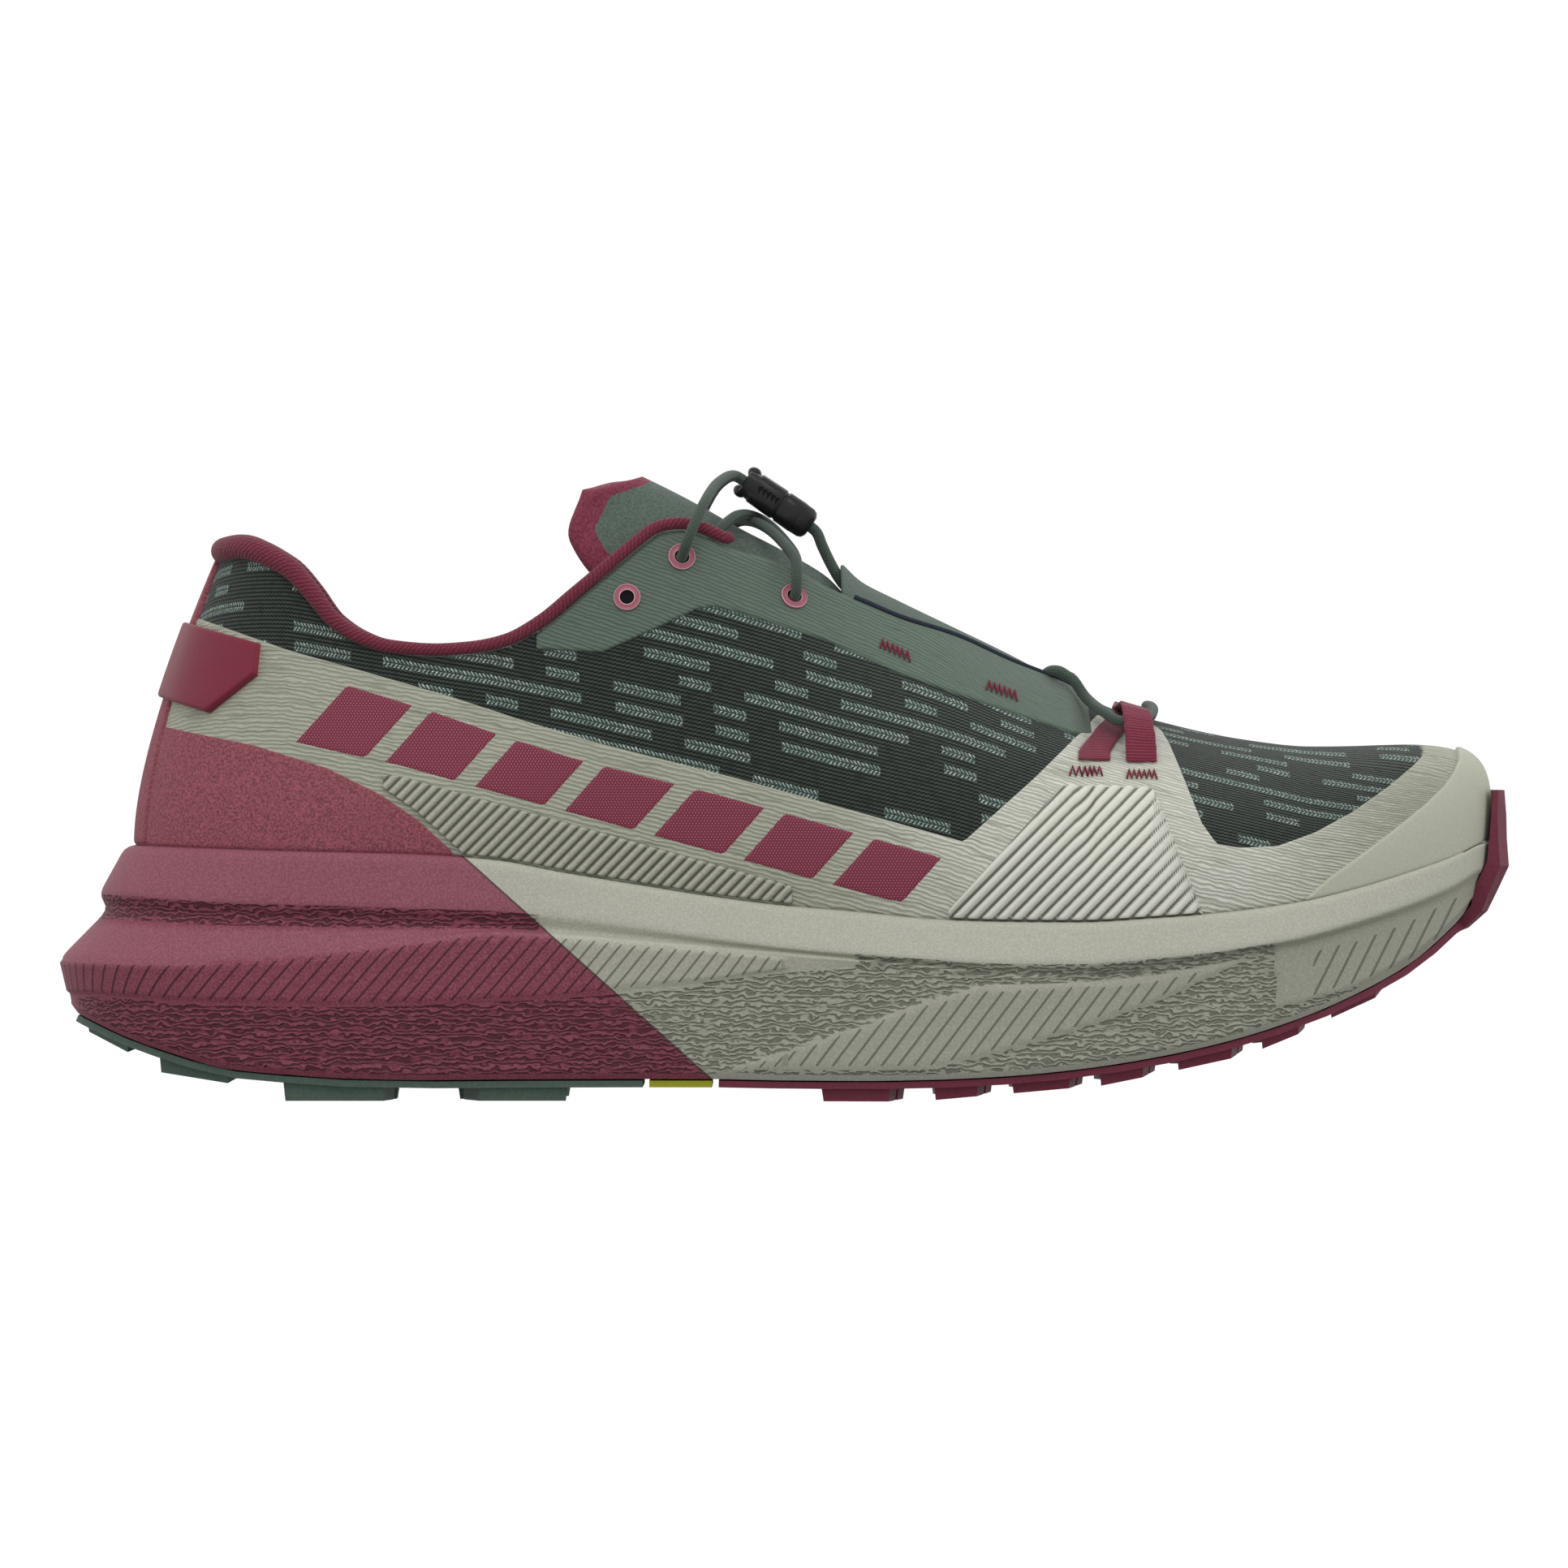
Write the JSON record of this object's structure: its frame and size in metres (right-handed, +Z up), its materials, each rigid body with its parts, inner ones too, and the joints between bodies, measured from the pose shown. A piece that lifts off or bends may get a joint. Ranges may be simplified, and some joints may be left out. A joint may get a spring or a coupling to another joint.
{
  "type": "trail running shoe",
  "caption": "Right trail running shoe with a knitted upper, quick-pull lacing, a two-part foam midsole and a lugged rubber outsole, standing empty on its sole.",
  "frame": {"origin": "the ground under the heel, on the flat of a heel lug, 58 mm ahead of the heel's rearmost point", "axes": "+X towards the toe, +Y towards the inner side of the foot, +Z up"},
  "size_m": [0.2802, 0.1018, 0.1213],
  "materials": {
    "burgundy_foam": "matt speckled foam",
    "beige_foam": "matt foam",
    "green_rubber": "matt rubber",
    "burgundy_rubber": "matt rubber",
    "yellow_rubber": "matt rubber",
    "lining": "brushed knit",
    "dark_knit": "knitted mesh",
    "beige_knit": "fine knit under film",
    "beige_film": "printed ribs",
    "burgundy_film": "printed film with fine grain",
    "green_film": "fine ribbed weave",
    "crimson_tape": "woven tape",
    "pink_metal": "satin",
    "cord_green": "braided cord",
    "black_plastic": "moulded"
  },
  "bodies": {
    "root": {"midsole_heel": "burgundy_foam", "midsole_forefoot": "beige_foam", "outsole_heel": "green_rubber", "outsole_forefoot": "burgundy_rubber", "outsole_insert": "yellow_rubber", "insole": "lining", "upper": "dark_knit", "heel_counter": "burgundy_film", "toe_cap": "beige_knit", "side_band": "beige_knit", "ribs_rear_outer": "beige_film", "ribs_rear_inner": "beige_film", "ribs_front_outer": "beige_film", "ribs_front_inner": "beige_film", "eyestay_outer": "green_film", "eyestay_inner": "green_film", "pull_tab": "crimson_tape", "collar_piping": "crimson_tape", "tongue": "green_film", "lace_pocket": "green_film", "eyelet_outer_1": "pink_metal", "eyelet_outer_2": "pink_metal", "eyelet_outer_3": "pink_metal", "eyelet_inner_1": "pink_metal", "eyelet_inner_2": "pink_metal", "eyelet_inner_3": "pink_metal", "lace_crossings": "cord_green", "lace_end_outer": "cord_green", "lace_end_inner": "cord_green", "lace_tail_outer": "cord_green", "lace_tail_inner": "cord_green", "lace_front": "cord_green", "lace_loop_outer": "crimson_tape", "lace_loop_inner": "crimson_tape", "toggle_body": "black_plastic", "toggle_end": "black_plastic"}
  },
  "joints": []
}
